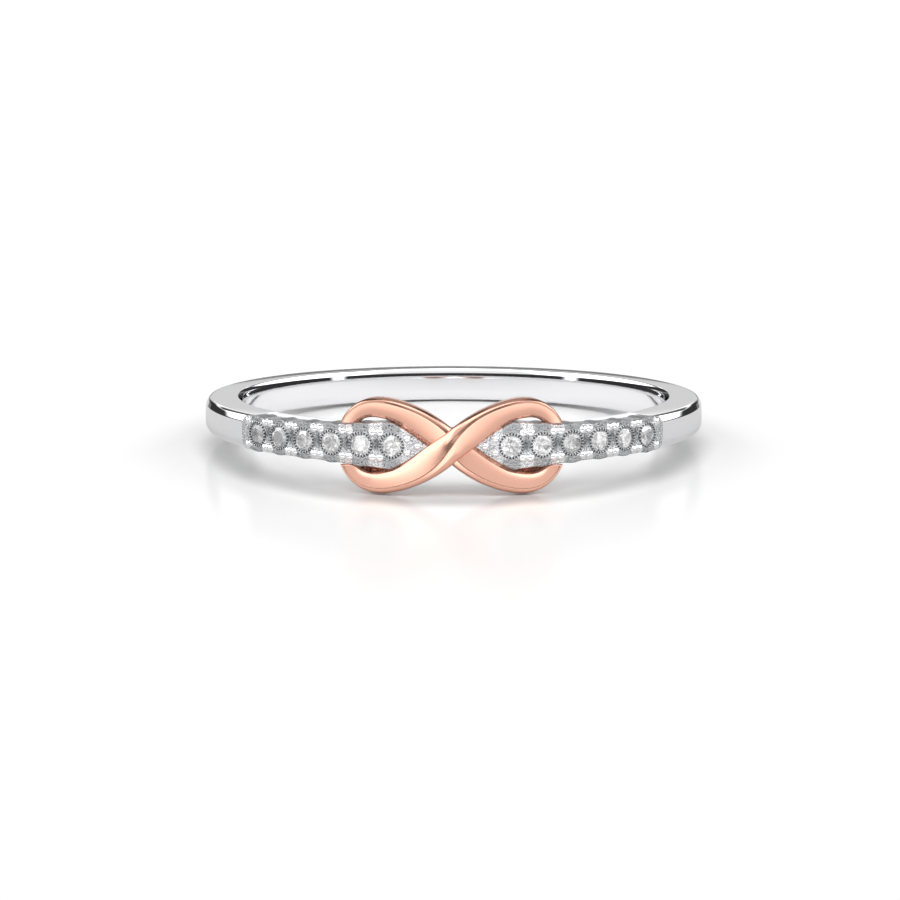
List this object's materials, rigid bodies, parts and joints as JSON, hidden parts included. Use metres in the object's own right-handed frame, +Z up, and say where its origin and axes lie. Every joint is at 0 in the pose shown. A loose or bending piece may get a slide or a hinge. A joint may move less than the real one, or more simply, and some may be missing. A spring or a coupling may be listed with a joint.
{
  "type": "infinity ring",
  "caption": "Finger ring with a plain tapered shank, round stones in bead-set cups along both shoulders, and a crossed infinity knot soldered over the front.",
  "frame": {"origin": "middle of the finger hole, on its axis, with the ring lying on its side", "axes": "+Z up from the surface that the ring lies on, -Y to the front with the knot, +X to the right of someone who looks at the knot; the finger's axis leans back from +Z by 3.86 degrees"},
  "size_m": [0.0192, 0.0197, 0.0038],
  "materials": {
    "silver": "polished sterling silver, granulated between the stones",
    "rose_gold": "polished rose gold plating",
    "stone": "clear round brilliants"
  },
  "bodies": {
    "root": {"band": "silver", "infinity_knot": "rose_gold", "stone_left_1": "stone", "stone_left_2": "stone", "stone_left_3": "stone", "stone_left_4": "stone", "stone_left_5": "stone", "stone_left_6": "stone", "stone_right_1": "stone", "stone_right_2": "stone", "stone_right_3": "stone", "stone_right_4": "stone", "stone_right_5": "stone", "stone_right_6": "stone"}
  },
  "joints": []
}
